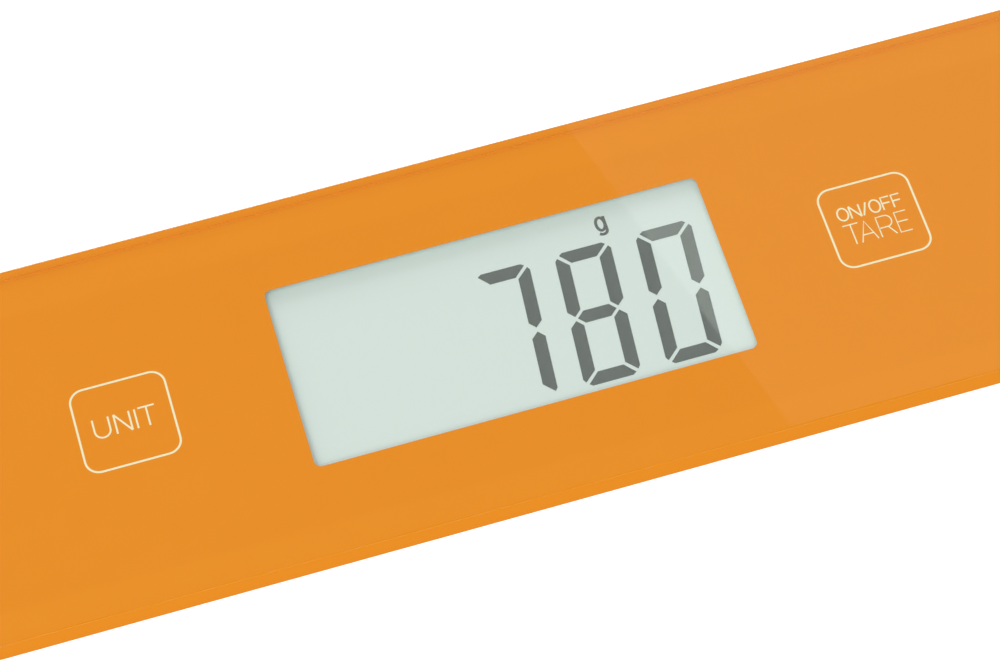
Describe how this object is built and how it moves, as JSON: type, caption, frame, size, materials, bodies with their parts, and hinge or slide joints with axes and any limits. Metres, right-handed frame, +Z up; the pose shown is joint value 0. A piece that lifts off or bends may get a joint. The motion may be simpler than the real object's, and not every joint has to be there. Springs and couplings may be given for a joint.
{
  "type": "kitchen scale",
  "caption": "Slim bar-shaped digital kitchen scale: printed glass platform with display window and touch keys, low moulded housing, sprung feet on bending beams.",
  "frame": {"origin": "middle of the scale's outline, on the plane that its feet stand on", "axes": "+X along the bar, to the reader's right; +Y away from the reader; +Z up, out of the glass"},
  "size_m": [0.23, 0.05, 0.018],
  "materials": {
    "orange_glass": "clear polished glass, printed orange on its underside",
    "tape": "closed-cell acrylic foam",
    "white_plastic": "fine spark texture, moulded",
    "display_glass": "polarised display glass over a grey-green reflector",
    "black_plastic": "moulded",
    "elastomer": "striped silicone",
    "board": "solder mask",
    "epoxy": "cured drop",
    "spring_steel": "nickel-plated wire",
    "nickel": "nickel plate",
    "beam_steel": "milled",
    "potting": "soft white sealant",
    "wire_plastic": "extruded",
    "foot_plastic": "moulded",
    "foot_rubber": "matt moulded",
    "zinc_steel": "zinc plated"
  },
  "bodies": {
    "root": {"glass_platform": "orange_glass", "bonding_tape": "tape", "upper_case": "white_plastic", "bottom_cover": "white_plastic", "lcd_panel": "display_glass", "lcd_frame": "black_plastic", "zebra_strip": "elastomer", "circuit_board": "board", "chip_blob": "epoxy", "key_spring_left": "spring_steel", "key_spring_right": "spring_steel", "coin_cell": "nickel", "cell_contact_top": "nickel", "cell_contact_side": "nickel", "load_beam_right_back": "beam_steel", "gauge_pad_right_back": "potting", "gauge_wire_right_back": "wire_plastic", "cover_screw_right_back": "zinc_steel", "board_screw_right_back": "zinc_steel", "beam_screw_right_back_inner": "zinc_steel", "beam_screw_right_back_outer": "zinc_steel", "load_beam_left_back": "beam_steel", "gauge_pad_left_back": "potting", "gauge_wire_left_back": "wire_plastic", "cover_screw_left_back": "zinc_steel", "board_screw_left_back": "zinc_steel", "beam_screw_left_back_inner": "zinc_steel", "beam_screw_left_back_outer": "zinc_steel", "load_beam_left_front": "beam_steel", "gauge_pad_left_front": "potting", "gauge_wire_left_front": "wire_plastic", "cover_screw_left_front": "zinc_steel", "board_screw_left_front": "zinc_steel", "beam_screw_left_front_inner": "zinc_steel", "beam_screw_left_front_outer": "zinc_steel", "load_beam_right_front": "beam_steel", "gauge_pad_right_front": "potting", "gauge_wire_right_front": "wire_plastic", "cover_screw_right_front": "zinc_steel", "board_screw_right_front": "zinc_steel", "beam_screw_right_front_inner": "zinc_steel", "beam_screw_right_front_outer": "zinc_steel", "cover_screw_right_end": "zinc_steel", "cover_screw_left_end": "zinc_steel"},
    "battery_cap": {"battery_cap": "white_plastic"},
    "foot_right_back": {"foot_cup_right_back": "foot_plastic", "foot_pad_right_back": "foot_rubber"},
    "foot_left_back": {"foot_cup_left_back": "foot_plastic", "foot_pad_left_back": "foot_rubber"},
    "foot_left_front": {"foot_cup_left_front": "foot_plastic", "foot_pad_left_front": "foot_rubber"},
    "foot_right_front": {"foot_cup_right_front": "foot_plastic", "foot_pad_right_front": "foot_rubber"}
  },
  "joints": [
    {"name": "foot_give_right_back", "type": "slide", "parent": "root", "child": "foot_right_back", "axis": [0, 0, 1], "range_m": [0, 0.0003], "stiffness_N_per_m": 41000},
    {"name": "foot_give_left_back", "type": "slide", "parent": "root", "child": "foot_left_back", "axis": [0, 0, 1], "range_m": [0, 0.0003], "stiffness_N_per_m": 41000},
    {"name": "foot_give_left_front", "type": "slide", "parent": "root", "child": "foot_left_front", "axis": [0, 0, 1], "range_m": [0, 0.0003], "stiffness_N_per_m": 41000},
    {"name": "foot_give_right_front", "type": "slide", "parent": "root", "child": "foot_right_front", "axis": [0, 0, 1], "range_m": [0, 0.0003], "stiffness_N_per_m": 41000},
    {"name": "battery_cap_turn", "type": "hinge", "parent": "root", "child": "battery_cap", "pos_m": [-0.038, 0.0008, 0.003], "axis": [0, 0, -1], "range_deg": [0, 40]}
  ]
}
